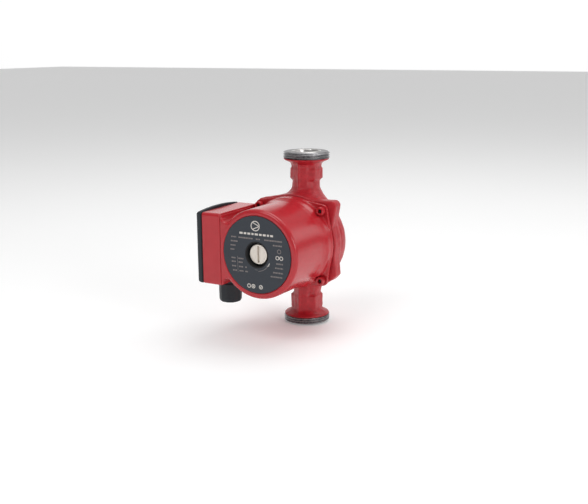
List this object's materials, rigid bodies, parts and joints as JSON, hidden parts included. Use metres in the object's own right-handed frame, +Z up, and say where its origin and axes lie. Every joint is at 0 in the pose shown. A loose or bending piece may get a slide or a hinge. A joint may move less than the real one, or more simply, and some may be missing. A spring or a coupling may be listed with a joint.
{
  "type": "circulator pump",
  "caption": "Inline wet-rotor circulator pump with threaded ports above and below, round motor, side terminal box with cable gland and speed selector.",
  "frame": {"origin": "where the pipe axis crosses the motor axis, midway between the port faces", "axes": "+Z up the pipe axis from inlet to outlet, -Y the way the motor's front faces, terminal box on -X"},
  "size_m": [0.1293, 0.1286, 0.18],
  "materials": {
    "cast_red": "red paint over rough cast iron, bare steel-grey threads",
    "paint_red": "smooth glossy red paint",
    "slate": "satin slate-grey label plate with pale printing",
    "black_plastic": "fine-grained black moulding",
    "plug_metal": "turned nickel-plated face",
    "stainless": "drawn stainless sheet",
    "steel": "zinc-plated screw",
    "ceramic": "ground ceramic",
    "carbon": "pressed carbon",
    "rubber": "moulded seal rubber",
    "lamination": "stacked electrical steel",
    "copper": "lacquered copper winding",
    "composite": "glass-filled composite",
    "white_plastic": "off-white moulding",
    "brass": "bright brass",
    "lead_brown": "wire insulation"
  },
  "bodies": {
    "pump": {"pump_housing": "cast_red", "neck_ring": "stainless", "housing_gasket": "rubber", "rotor_can": "stainless", "can_seal": "rubber", "bearing_plate": "stainless", "front_bearing": "ceramic", "rear_bearing": "ceramic", "stator_housing": "paint_red", "stator_core": "lamination", "winding_front": "copper", "winding_rear": "copper", "nameplate": "slate", "flange_screw_1": "paint_red", "flange_screw_2": "paint_red", "flange_screw_3": "paint_red", "flange_screw_4": "paint_red", "terminal_box": "paint_red", "cover_gasket": "rubber", "terminal_cover": "black_plastic", "cover_screw_1": "steel", "cover_screw_2": "steel", "box_screw_1": "steel", "box_screw_2": "steel", "lead_grommet": "rubber", "motor_lead_1": "lead_brown", "motor_lead_2": "lead_brown", "motor_lead_3": "lead_brown", "terminal_block": "white_plastic", "clamp_screw_1": "brass", "clamp_screw_2": "brass", "clamp_screw_3": "brass", "earth_screw": "brass", "capacitor": "white_plastic", "capacitor_strap": "black_plastic", "speed_switch": "white_plastic", "selector_seal": "rubber", "gland_body": "black_plastic", "gland_washer": "rubber", "gland_seal": "rubber", "gland_nut": "black_plastic"},
    "rotor": {"shaft": "ceramic", "rotor_core": "stainless", "impeller": "composite", "thrust_bearing": "carbon", "thrust_retainer": "rubber"},
    "vent_washer": {"vent_gasket": "rubber"},
    "vent_plug": {"vent_screw": "plug_metal"},
    "selector": {"selector_spindle": "white_plastic", "speed_knob": "black_plastic"}
  },
  "joints": [
    {"name": "rotor_spin", "type": "hinge", "parent": "pump", "child": "rotor", "pos_m": [0, -0.05, 0], "axis": [0, 1, 0], "continuous": true},
    {"name": "vent_travel", "type": "slide", "parent": "pump", "child": "vent_washer", "axis": [0, -1, 0], "range_m": [0, 0.003]},
    {"name": "vent_turn", "type": "hinge", "parent": "vent_washer", "child": "vent_plug", "pos_m": [0, -0.092, 0], "axis": [0, -1, 0], "range_deg": [0, 720]},
    {"name": "speed_selector", "type": "hinge", "parent": "pump", "child": "selector", "pos_m": [-0.072, -0.053, 0.014], "axis": [-1, 0, 0], "range_deg": [0, 90]}
  ],
  "couplings": [
    {"joint": "vent_travel", "follows": "vent_turn", "m_per_rad": 0.00023873}
  ]
}
